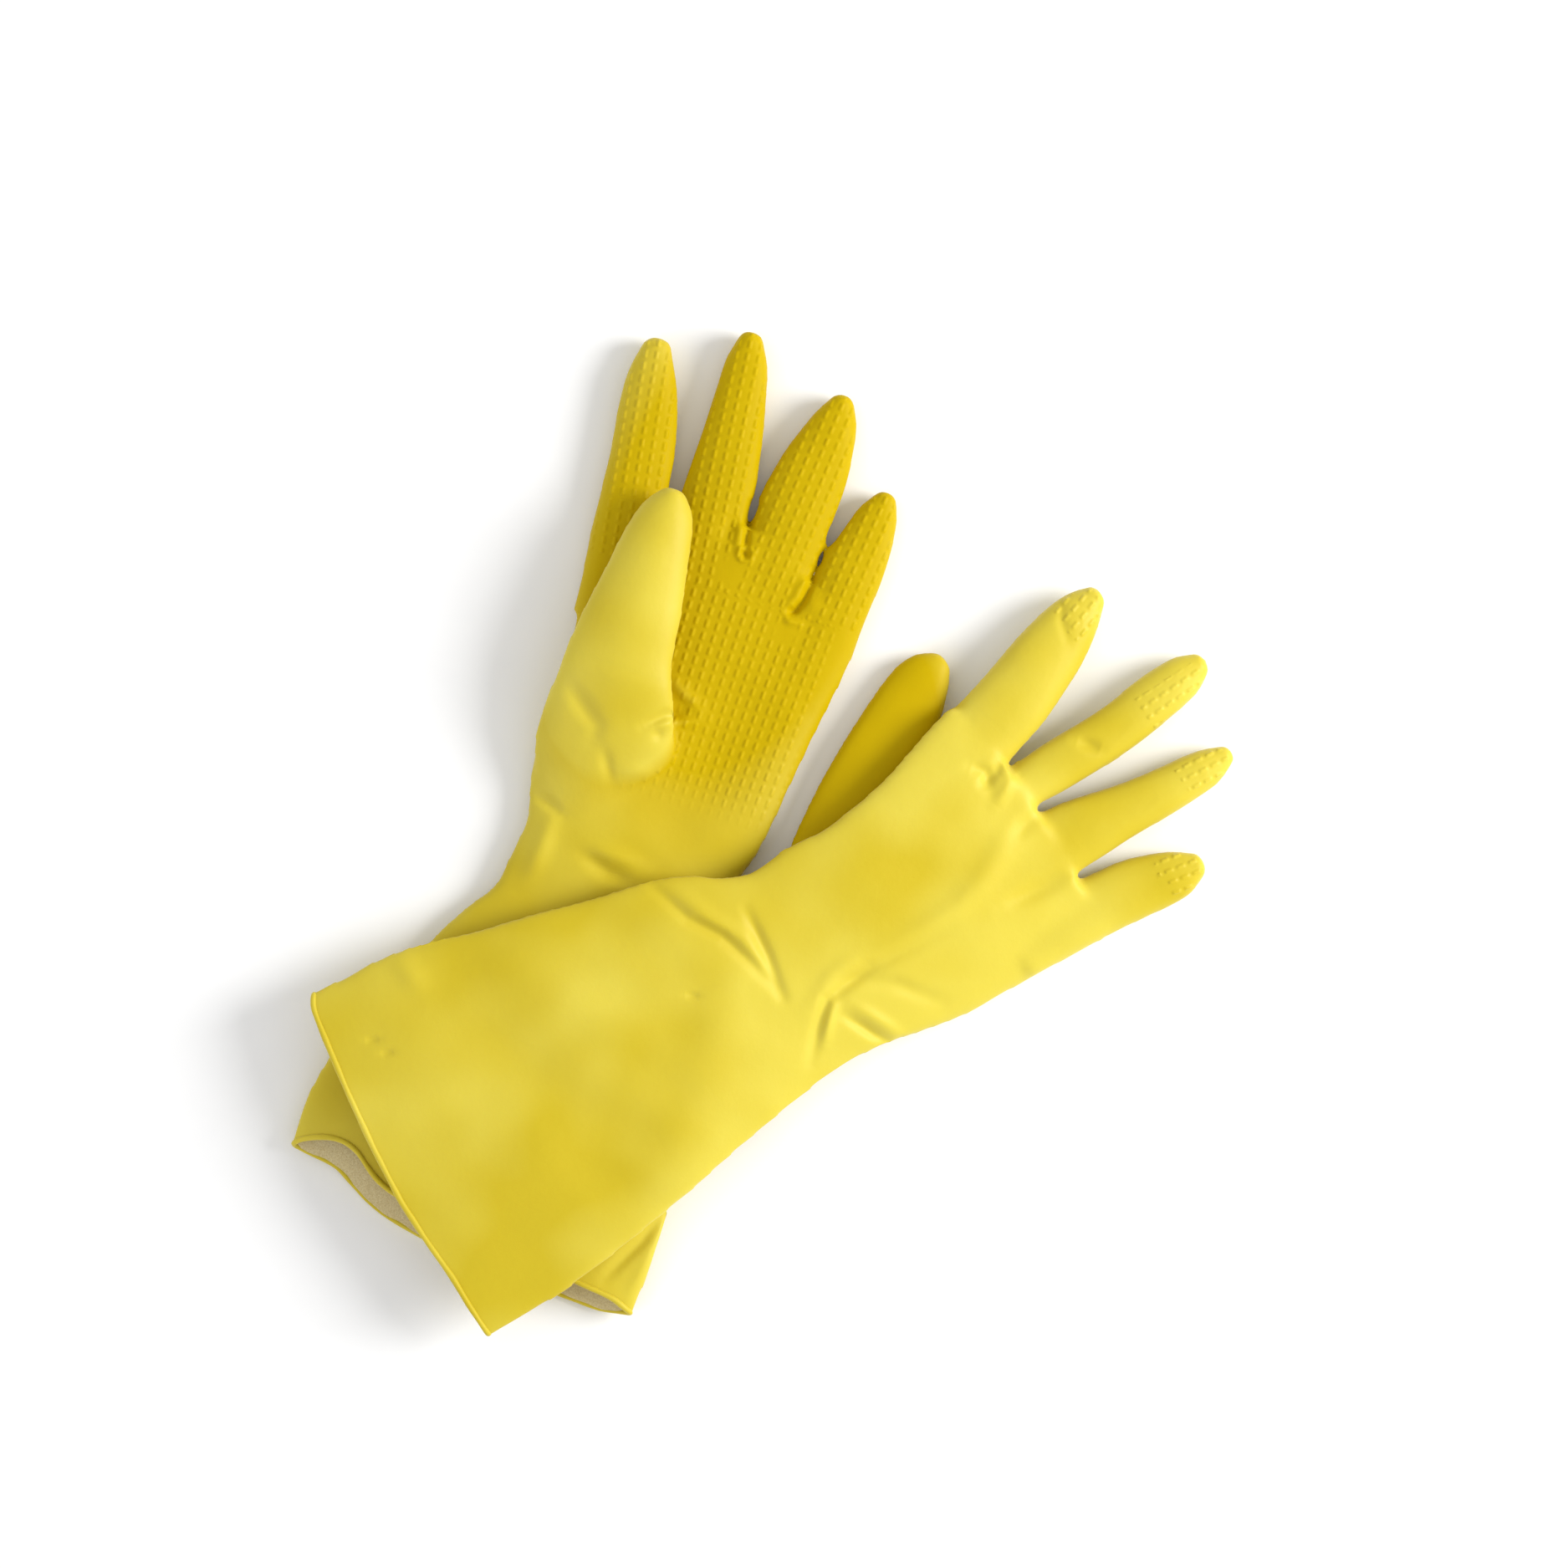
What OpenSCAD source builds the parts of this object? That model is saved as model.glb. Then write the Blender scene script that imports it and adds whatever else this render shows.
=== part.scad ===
// A pair of flock-lined household gloves, crossed over each other on a flat surface.
// The left-hand glove lies below with its palm up and its thumb folded over the palm.
// The right-hand glove lies on top of its cuff with its back up and its thumb tucked under the hand.
// Each glove is one dipped film of latex with a rolled bead at its mouth and a flocked lining.
// Film and lining are divided where they bend: at the wrist and at the root of each stall.
// Millimetres, +Z up, Y along the left glove. The origin is under the middle of the pair.

/* [Gloves] */
// Length of each glove from its mouth to its middle fingertip
glove_length = 310; // [300:1:320]
// Angle between the two gloves
cross_angle = 39; // [38:0.5:40]
// Where the middle of the right glove's mouth lies, seen from the left glove's
right_mouth = [-24.2, 13.9]; // [-40:0.1:40]

/* [Film] */
// Thickness of the latex film
film = 0.5; // [0.4:0.05:0.6]
// Thickness of the flocked lining
flock = 0.3; // [0.2:0.05:0.35]
// Diameter of the rolled bead round each mouth
bead_d = 1.8; // [1.4:0.1:2]

/* [Fit] */
// Half the gap between two regions of film where they bend
bend_gap = 0.3; // [0.3:0.05:0.5]
// Gap between the film and its lining
bond_gap = 0.05; // [0.03:0.01:0.08]

/* [Section shape] */
// Roundness of a section's edge: 2 is an ellipse
roundness = 2.3; // [2:0.1:3]
// How much of a section's underside lies flat
flatness = 1.3; // [1.1:0.1:1.6]

/* [Colours] */
// Latex
latex_colour = "gold"; // [gold, yellow, orange]
// Flock
flock_colour = "wheat"; // [wheat, ivory, beige]

/* [Hidden] */
fingers = ["thumb", "index", "middle", "ring", "little"];
regions = concat(["cuff", "hand"], fingers);

// The plan sizes below are those of a glove of this length, and grow with it
design_length = 310;
k = glove_length / design_length;
// Middle of the pair's outline, in the left glove's own plan
pair_middle = [63.8, 139.3];

lining_out = film + bond_gap;
lining_in = lining_out + flock;
past_end = 1;

// A station is a section of a glove:
// [x, y, heading to the left of Y, half width, lowest, highest, rise per mm to the right]
left_cuff_run = [
  [0.5, -1, -8, 62.5, 0.8, 11.6, 0],
  [2.5, 40, -4, 60.5, 0, 12, 0],
  [6.5, 75, 0, 51.5, 0, 12, 0],
  [12.5, 105, 0, 43, 0, 12, 0],
  [15.7, 143, 0, 38.9, 0, 13, 0]
];
left_hand_run = [
  [15.7, 143, 0, 38.9, 0, 13, 0],
  [15.6, 165, 0, 42.6, 0, 14, 0],
  [18.2, 200, 0, 44.2, 0, 14.5, 0],
  [16.5, 0, 0, 49.8, 0, 13, 0]
];
// The knuckle line, with a step where one stall starts nearer the wrist than the next
left_knuckles = [
  [-33.3, 254.1], [-32.6, 254.2], [-31, 254.5], [-28, 254.9], [-24, 255.5], [-19, 256.3], [-14, 257.1],
  [-10.5, 257.6], [-6.5, 254.7], [-3, 255.1], [2, 255.6], [8, 256.2], [13, 256.7], [17, 257.1],
  [18.4, 256.4], [19.4, 255], [22, 254.8], [27, 254.4], [33, 253.8], [40, 253.2], [45.2, 252.7],
  [45.6, 242.9], [48, 242.7], [52, 242.3], [57, 241.7], [62, 241.2], [65.3, 240.9], [66.6, 240.7]
];
// The base of the thumb rises out of the palm and lies back over it
left_thumb_base = [
  [2, 150, 6, 15, 3, 13, 0],
  [-3, 170, 4, 17, 8, 24, 0],
  [-7, 192, 0, 17.3, 15.2, 29.5, 0]
];
right_cuff_run = [
  [0, 0.4, -6, 63.4, 13.6, 26.4, 0],
  [1.7, 45, -2, 59.8, 13, 27, 0],
  [6, 80, 0, 52, 13, 26, -0.02],
  [9.5, 112, 0, 45, 12.6, 24, -0.06],
  [17, 148.3, 0, 35.9, 9, 22, -0.12]
];
right_hand_run = [
  [17, 148.3, 0, 35.9, 9, 22, -0.12],
  [20, 178, 0, 38.6, 5.6, 20.2, -0.17],
  [20.3, 207, 0, 41.2, 4.8, 19.2, -0.17],
  [17.9, 0, 0, 47.5, 4.6, 17, -0.11]
];
right_knuckles = [
  [-29.6, 238.5], [-28.9, 238.7], [-27, 239.3], [-23, 240.6], [-18, 242.1], [-13, 243.6], [-8, 245.1],
  [-3, 246.7], [-1, 247], [4, 247], [10, 247], [16, 247], [18, 248.2], [23, 247.7], [29, 247.1],
  [36, 246.4], [42, 245.7], [43.5, 245.3], [47, 244.6], [52, 243.5], [57, 242.4], [61.5, 241.5],
  [64.2, 240.9], [65.4, 240.6]
];
// The base of the thumb comes out from under the index edge of the hand
right_thumb_base = [
  [6, 153, 18, 12, 10.8, 18.5, 0],
  [-3, 161, 22, 13.5, 3.6, 13.6, 0],
  [-9, 169.6, 24, 14, 0.5, 9.2, 0]
];

// A stall is [name, root, heading at its root and its tip, length, width at its root and its tip,
// lowest and highest at its root, lowest and highest at its tip]
left_stalls = [
  ["thumb", [-7, 192], [0, 0], 60.6, [34.4, 20], [15.2, 29.5], [15.2, 27]],
  ["index", [-21.4, 256], [8.7, 9], 44, [22.8, 17], [0.3, 12.6], [0.3, 11.5]],
  ["middle", [6.1, 256], [5.7, 6], 55, [24.2, 14], [0.3, 12.8], [0.3, 11.5]],
  ["ring", [32.5, 254], [-5, -4], 45.7, [25, 17], [0.3, 12.8], [0.3, 11.5]],
  ["little", [56.2, 241.8], [-6, -5], 32, [20, 14], [0.3, 12.4], [0.3, 11]]
];
right_stalls = [
  ["thumb", [-9, 169.6], [24, 27], 79, [28, 21], [0.5, 9.2], [0.4, 10.4]],
  ["index", [-15.8, 242.7], [17, 19], 54.9, [27, 17], [8, 18.5], [4, 16]],
  ["middle", [7.3, 247], [1, 4], 65, [17, 17], [5.4, 16.6], [2, 14]],
  ["ring", [30, 247], [-7, -2], 56.2, [23, 15], [2.9, 15], [1, 12.5]],
  ["little", [54.4, 243], [-12, -9], 33, [21, 15], [0.8, 11.6], [0.4, 11]]
];

// Columns across a section, from its left edge to its right edge
function columns(n) = [for (i = [0:n]) -cos(180 * i / n)];
stall_columns = columns(10);
cuff_columns = columns(18);
base_columns = columns(10);

// A step in the knuckle line is a side wall of the film, so drawing it in moves it to the left
step_height = 3;
function steps_at(line, i) = i > 0 && i < len(line) - 1
  && max(abs(line[i][1] - line[i - 1][1]), abs(line[i + 1][1] - line[i][1])) > step_height;
function knuckle_columns(run, line, inset) = [for (i = [0:len(line) - 1])
  (line[i][0] - last(run)[0] - (steps_at(line, i) ? inset : 0)) / last(run)[3]];

function last(list) = list[len(list) - 1];
function mix(ends, s) = ends[0] + (ends[1] - ends[0]) * s;
function ahead(heading) = [-sin(heading), cos(heading)];
function across(heading) = [cos(heading), sin(heading)];
function crown(u) = pow(max(0, 1 - pow(abs(u), roundness)), 1 / roundness);

// The closed line of points round one station, drawn in from the film's outside by inset.
// shift moves each column along Y.
function section(s, cols, inset, shift = []) =
  let (w = k * s[3] - inset, h = (s[5] - s[4]) / 2 - inset, middle = (s[4] + s[5]) / 2, m = len(cols))
  [for (j = [0:2 * m - 3])
    let (
      i = j < m ? j : 2 * m - 2 - j,
      u = cols[i],
      v = j < m ? h * crown(u) : -h * min(1, flatness * crown(u)),
      p = k * [s[0], s[1]] + across(s[2]) * u * w,
      dy = len(shift) > 0 ? k * shift[i] : 0
    )
    [p[0], p[1] + dy, middle + v + s[6] * u * w]
  ];

// The stations along a stall: even along its length, then closer round its tip
tip_turn = [0, 28, 50, 66, 76];
tip_reach = 1.3;
function stall_run(f, inset) =
  let (
    length = f[3] - inset / k,
    cap = tip_reach * f[4][1] / 2 / length,
    steps = concat([[0, 1], [0.28, 1], [0.56, 1]], [for (a = tip_turn) [1 - cap * (1 - sin(a)), cos(a)]])
  )
  [for (e = steps)
    let (
      s = e[0],
      p = f[1] + (bend_gap / k + (length - bend_gap / k) * s) * ahead(mix(f[2], s / 2)),
      low = mix([f[5][0], f[6][0]], s),
      high = mix([f[5][1], f[6][1]], s),
      half = (high - low) / 2
    )
    [p[0], p[1], mix(f[2], s), e[1] * mix(f[4], s) / 2, high - half * (1 + e[1]), low + half * (1 + e[1]), 0]
  ];
function rings(run, cols, inset) = [for (s = run) section(s, cols, inset)];
function moved(s, distance) =
  let (d = ahead(s[2]) * distance / k) [s[0] + d[0], s[1] + d[1], s[2], s[3], s[4], s[5], s[6]];

// Faces: side walls between rings of n points, an end cap of strips between the columns, a rim between two rings
function wall_faces(count, n, base, out) = [for (r = [0:count - 2], j = [0:n - 1])
  let (a = base + r * n + j, b = base + r * n + (j + 1) % n)
  each out ? [[a, a + n, b], [b, a + n, b + n]] : [[a, b, a + n], [b, b + n, a + n]]];
function cap_faces(n, base, turned) = [for (i = [0:n / 2 - 1])
  let (low_a = base + (n - i) % n, low_b = base + n - i - 1, a = base + i, b = base + i + 1,
    face = i == 0 ? [a, b, low_b] : i == n / 2 - 1 ? [a, b, low_a] : [a, b, low_b, low_a])
  turned ? [for (q = [len(face) - 1:-1:0]) face[q]] : face];
function rim_faces(n, outer, inner, turned) = [for (j = [0:n - 1])
  let (a = outer + j, b = outer + (j + 1) % n, c = inner + j, d = inner + (j + 1) % n)
  each turned ? [[a, c, b], [b, c, d]] : [[a, b, c], [b, d, c]]];

// A solid through a list of rings
module loft(list) {
  n = len(list[0]);
  count = len(list);
  polyhedron(
    points = [for (ring = list) each ring],
    faces = concat(wall_faces(count, n, 0, true), cap_faces(n, 0, false), cap_faces(n, (count - 1) * n, true)),
    convexity = 8
  );
}

// A skin between two lists of rings, open at its first ring, and open or closed at its last
module skin(outer, inner, closed_tip) {
  n = len(outer[0]);
  count = len(outer);
  inside = count * n;
  end = (count - 1) * n;
  tip = closed_tip
    ? concat(cap_faces(n, end, true), cap_faces(n, inside + end, false))
    : rim_faces(n, end, inside + end, true);
  polyhedron(
    points = [for (ring = concat(outer, inner)) each ring],
    faces = concat(wall_faces(count, n, 0, true), wall_faces(count, n, inside, false),
      rim_faces(n, 0, inside, false), tip),
    convexity = 8
  );
}

module stall(f, out, in) {
  skin(rings(stall_run(f, out), stall_columns, out), rings(stall_run(f, in), stall_columns, in), true);
}

// A cuff ends bend_gap short of the wrist line
module cuff(run, out, in) {
  list = [for (i = [0:len(run) - 1]) i == len(run) - 1 ? moved(run[i], -bend_gap) : run[i]];
  skin(rings(list, cuff_columns, out), rings(list, cuff_columns, in), false);
}

// A hand with the base of its thumb, as one solid. The solids that hollow it out run on past its open ends.
module hand_solid(run, knuckles, base, inset, past) {
  cols = knuckle_columns(run, knuckles, inset);
  ends = past > 0 ? [0, past] : [0];
  wrist_end = [for (i = [len(ends) - 1:-1:0]) section(moved(run[0], bend_gap - ends[i]), cols, inset)];
  middle = [for (i = [1:len(run) - 2]) section(run[i], cols, inset)];
  knuckle_end = [for (e = ends) section(last(run), cols, inset, [for (p = knuckles) p[1] + (e - bend_gap) / k])];
  loft(concat(wrist_end, middle, knuckle_end));
  thumb_end = [for (e = ends) moved(last(base), e - bend_gap)];
  loft(rings(concat([for (i = [0:len(base) - 2]) base[i]], thumb_end), base_columns, inset));
}

module hand(run, knuckles, base, out, in) {
  difference() {
    hand_solid(run, knuckles, base, out, 0);
    hand_solid(run, knuckles, base, in, past_end);
  }
}

// The rolled bead lies against the film's edge, all round the mouth
bead_sides = 8;
module bead(run) {
  r = bead_d / 2;
  path = section(moved(run[0], -r), cuff_columns, film / 2);
  n = len(path);
  around = [for (i = [0:n - 1])
    let (
      before = path[(i + n - 1) % n],
      after = path[(i + 1) % n],
      along = (after - before) / norm(after - before),
      back = [-ahead(run[0][2])[0], -ahead(run[0][2])[1], 0],
      side = cross(along, back)
    )
    [for (j = [0:bead_sides - 1])
      path[i] + r * (cos(360 * j / bead_sides) * back + sin(360 * j / bead_sides) * side)]
  ];
  polyhedron(
    points = [for (ring = around) each ring],
    faces = [for (i = [0:n - 1], j = [0:bead_sides - 1])
      let (
        a = i * bead_sides + j,
        b = i * bead_sides + (j + 1) % bead_sides,
        c = ((i + 1) % n) * bead_sides + j,
        d = ((i + 1) % n) * bead_sides + (j + 1) % bead_sides
      )
      each [[a, b, c], [b, d, c]]],
    convexity = 8
  );
}

// Both gloves are drawn in their own plan and set down here
module place(side) {
  translate([-k * pair_middle[0], -k * pair_middle[1], 0])
    translate(side == "right" ? k * [right_mouth[0], right_mouth[1], 0] : [0, 0, 0])
      rotate(side == "right" ? -cross_angle : 0)
        children();
}

function cuff_run(side) = side == "left" ? left_cuff_run : right_cuff_run;
function hand_run(side) = side == "left" ? left_hand_run : right_hand_run;
function knuckles(side) = side == "left" ? left_knuckles : right_knuckles;
function thumb_base(side) = side == "left" ? left_thumb_base : right_thumb_base;
function stalls(side) = side == "left" ? left_stalls : right_stalls;

module cuff_bead(side) {
  color(latex_colour) place(side) bead(cuff_run(side));
}
module cuff_film(side) {
  color(latex_colour) place(side) cuff(cuff_run(side), 0, film);
}
module cuff_lining(side) {
  color(flock_colour) place(side) cuff(cuff_run(side), lining_out, lining_in);
}
module hand_film(side) {
  color(latex_colour) place(side) hand(hand_run(side), knuckles(side), thumb_base(side), 0, film);
}
module hand_lining(side) {
  color(flock_colour) place(side) hand(hand_run(side), knuckles(side), thumb_base(side), lining_out, lining_in);
}
module stall_film(side, f) {
  color(latex_colour) place(side) stall(f, 0, film);
}
module stall_lining(side, f) {
  color(flock_colour) place(side) stall(f, lining_out, lining_in);
}

for (side = ["left", "right"]) {
  cuff_bead(side);
  cuff_film(side);
  cuff_lining(side);
  hand_film(side);
  hand_lining(side);
  for (f = stalls(side)) {
    stall_film(side, f);
    stall_lining(side, f);
  }
}
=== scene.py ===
"""A pair of flock-lined latex gloves lying crossed on a pale surface.

Each glove is drawn in its own plan in millimetres: the mouth at the origin, the fingers along +Y.
Its skin is lofted from the two edges of the cuff, the hand and each stall, joined into one skin,
creased and given its grip pattern. Then it is set down in the frame and divided where the CAD bodies bend.
"""
import math

import bmesh
import bpy
import numpy as np
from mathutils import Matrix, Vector
from mathutils.bvhtree import BVHTree


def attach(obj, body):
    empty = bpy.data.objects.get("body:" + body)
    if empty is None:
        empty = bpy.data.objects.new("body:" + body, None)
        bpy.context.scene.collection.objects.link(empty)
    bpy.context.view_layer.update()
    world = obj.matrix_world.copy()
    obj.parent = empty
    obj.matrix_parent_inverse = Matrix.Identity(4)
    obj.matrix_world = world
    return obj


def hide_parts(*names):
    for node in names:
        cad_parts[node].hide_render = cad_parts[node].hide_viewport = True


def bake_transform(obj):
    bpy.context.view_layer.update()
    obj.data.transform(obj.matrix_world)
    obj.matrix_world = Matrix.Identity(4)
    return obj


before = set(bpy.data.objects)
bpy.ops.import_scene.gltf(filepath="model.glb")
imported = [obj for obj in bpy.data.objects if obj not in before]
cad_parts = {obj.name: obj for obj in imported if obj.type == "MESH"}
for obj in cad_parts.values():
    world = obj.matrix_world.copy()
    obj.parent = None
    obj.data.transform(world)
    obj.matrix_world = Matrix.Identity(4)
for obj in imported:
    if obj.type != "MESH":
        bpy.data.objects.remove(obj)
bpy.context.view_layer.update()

MM = 0.001
VOXEL = 1.25  # size of the skin's faces before the grip pattern, mm
SMOOTHING = 7  # rounds that take the voxel steps away
RING_POINTS = 36
STATION_STEP = 3.0  # mm between the stations of a loft
LEAST_STATIONS = 8  # in a stall, before its round tip
EDGE_ROUNDNESS = 2.2  # 2 is an ellipse
TIP_TURNS = (25, 45, 62, 76, 86)  # degrees round a stall's tip at its closing stations
TIP_TAPER = 0.05  # how much flatter each of the last stations before the tip is than the one before it
TAPERED = 3  # how many stations that is
FAN_FROM = 170.0  # from here on the body's stations bend towards the line of the knuckles, mm
EDGE_SAMPLES = 400
LEAST_DEPTH = 0.5  # the lining is nowhere nearer the film's outside than this, mm
LINING_DEPTH = 0.95  # from the film's outside to the flock, mm
WALL = 0.6  # film whose normal rises less than this is a side, not a top
BEAD_RADIUS = 0.95
MOUTH_REACH = 60.0  # how far up the cuff its mouth's shape is felt, mm
CUT_MARGIN = 8.0  # the lofts start this far outside the mouth, mm

# Where each glove's own plan lies in the CAD frame: its mouth, and its turn to the left of +Y
PLACES = {
    "left": (np.array([-63.8, -139.3]), 0.0),
    "right": (np.array([-88.0, -125.4]), math.radians(-39.0)),
}


def turn(points, angle):
    """Points or directions turned to the left in plan."""
    c, s = math.cos(angle), math.sin(angle)
    x, y = points[..., 0], points[..., 1]
    out = np.array(points, float)
    out[..., 0] = x * c - y * s
    out[..., 1] = x * s + y * c
    return out


def to_frame(side, points):
    """Points of a glove's own plan, in mm, as metres in the CAD frame."""
    place, angle = PLACES[side]
    out = turn(np.array(points, float), angle)
    out[..., :2] += place
    return out * MM


def smoothstep(low, high, value):
    """0 below low, 1 above high, and an S between them."""
    t = np.clip((value - low) / (high - low), 0, 1)
    return t * t * (3 - 2 * t)


def along(line, share):
    """Points at these shares of a line's length, on a smooth curve through its points."""
    line = np.array(line, float)
    step = np.r_[0, np.cumsum(np.linalg.norm(np.diff(line, axis=0), axis=1))]
    at = np.asarray(share) * step[-1]
    slope = np.gradient(line, step, axis=0)
    i = np.clip(np.searchsorted(step, at, side="right") - 1, 0, len(step) - 2)
    width = (step[i + 1] - step[i])[:, None]
    t = ((at - step[i])[:, None]) / width
    return (
        (2 * t**3 - 3 * t**2 + 1) * line[i]
        + (t**3 - 2 * t**2 + t) * width * slope[i]
        + (3 * t**2 - 2 * t**3) * line[i + 1]
        + (t**3 - t**2) * width * slope[i + 1]
    )


# ------------------------ outlines

# The edges of each part of a glove, from the wrist end to the tip: left edge, right edge, tip, then
# (distance along, lowest, highest) at a few places. The body's heights also have a rise to the right per mm.
LEFT = {
    "body": {
        "left": [(-62, -12), (-62, 0), (-62.2, 14), (-60.2, 30), (-57.4, 41.7), (-50, 60), (-42.5, 78),
                 (-36.7, 91), (-30, 102.2), (-24.5, 110), (-22.4, 122.2), (-21.1, 135.5), (-23.7, 145.6),
                 (-25.2, 156), (-24.8, 165), (-23.8, 180), (-25, 195), (-28.3, 216.7), (-30.6, 236),
                 (-31, 242)],
        "right": [(62.8, -12), (63.4, 0), (64.2, 11), (64.2, 22), (62.6, 45), (60, 68), (57, 90),
                  (54.5, 112), (52.2, 128), (52.4, 137), (55, 144.4), (57, 155), (59, 172), (61.1, 191),
                  (63.2, 208), (65, 224.4), (65.6, 242)],
        "front": [(-32, 241), (-8, 242), (8, 246), (19, 250.5), (32, 245), (44, 238.5), (66, 230)],
        "heights": [(-12, 0.9, 12.5, 0), (0, 0.9, 12.5, 0), (40, 0, 12.5, 0), (110, 0, 12.5, 0),
                    (143, 0, 13.5, 0), (175, 0, 13.5, 0), (215, 0, 13.2, 0), (242, 0.2, 12.6, 0)],
    },
    "thumb": {
        "left": [(-17, 138), (-22.6, 150), (-26.4, 160), (-27, 168), (-26, 184), (-24.8, 200),
                 (-22.8, 213.3), (-21, 223.3), (-19.8, 232.2), (-17.8, 241), (-15.3, 247.2), (-12, 251)],
        "right": [(10, 138), (15, 152), (18.5, 168), (15.5, 182), (10, 196.7), (7.8, 213.3), (6.1, 223),
                  (4.4, 232.2), (2.8, 241), (0.9, 246.6), (-2.4, 250.8)],
        "tip": (-7.2, 252.9),
        "heights": [(0, 3, 12), (0.14, 4, 16), (0.3, 8, 23), (0.45, 13.6, 28), (0.6, 15.4, 29.5),
                    (0.8, 15.6, 29.3), (1, 15.6, 27.5)],
        "roundness": 1.75,
    },
    "index": {
        "left": [(-27.5, 205), (-28.6, 218), (-30, 230), (-31.1, 244.4), (-32.4, 260), (-34.4, 274.4),
                 (-34.9, 285.6), (-33.2, 295.2)],
        "right": [(-8, 205), (-8, 218), (-8.6, 232), (-9.3, 246), (-11.1, 263.3), (-13.4, 273.3),
                  (-17.2, 284.8), (-22.8, 296)],
        "tip": (-28.2, 299.5),
        "heights": [(0, 1.5, 11), (0.25, 0.3, 12.6), (0.6, 0.3, 12.6), (1, 1, 12)],
    },
    "middle": {
        "left": [(-6.6, 208), (-6.4, 225), (-5.8, 240), (-5.8, 253.3), (-5.6, 263.3), (-5.3, 274.4),
                 (-5.3, 290), (-5.1, 301), (-3.6, 307)],
        "right": [(18.6, 208), (18.8, 225), (18.6, 240), (17.9, 252), (17.3, 259), (16.6, 267.8),
                  (14.4, 280), (11.7, 291), (8.9, 301.1), (5.4, 307.8)],
        "tip": (0.3, 310.9),
        "heights": [(0, 1.5, 11), (0.25, 0.3, 12.8), (0.6, 0.3, 13), (1, 1, 12.2)],
    },
    "ring": {
        "left": [(20, 205), (19.8, 222), (19.8, 238), (19.9, 250), (19.9, 260), (21, 270), (22.8, 277.5),
                 (25.8, 285.8), (28.9, 293.2), (31.8, 297.9)],
        "right": [(38.4, 205), (40, 218), (41.8, 229), (43.2, 241), (44.4, 251), (45.3, 261), (45.7, 272.2),
                  (44.7, 282.2), (42.8, 292.2), (40, 297.8)],
        "tip": (36, 300.3),
        "heights": [(0, 1.5, 11), (0.25, 0.3, 12.8), (0.6, 0.3, 13), (1, 1, 12.2)],
    },
    "little": {
        "left": [(40.4, 198), (41.8, 212), (43.6, 224), (44.8, 234), (45.6, 242), (47, 251), (49.6, 260),
                 (52.4, 267.8), (55.6, 272.2)],
        "right": [(62.2, 198), (63.9, 213.3), (65, 224.4), (65.9, 235.6), (66.7, 246.7), (66.4, 257.8),
                  (65.4, 265.6), (63.2, 271.7)],
        "tip": (59.4, 274.1),
        "heights": [(0, 1.5, 11), (0.25, 0.3, 12.4), (0.6, 0.3, 12.6), (1, 1, 11.6)],
    },
}
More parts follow.
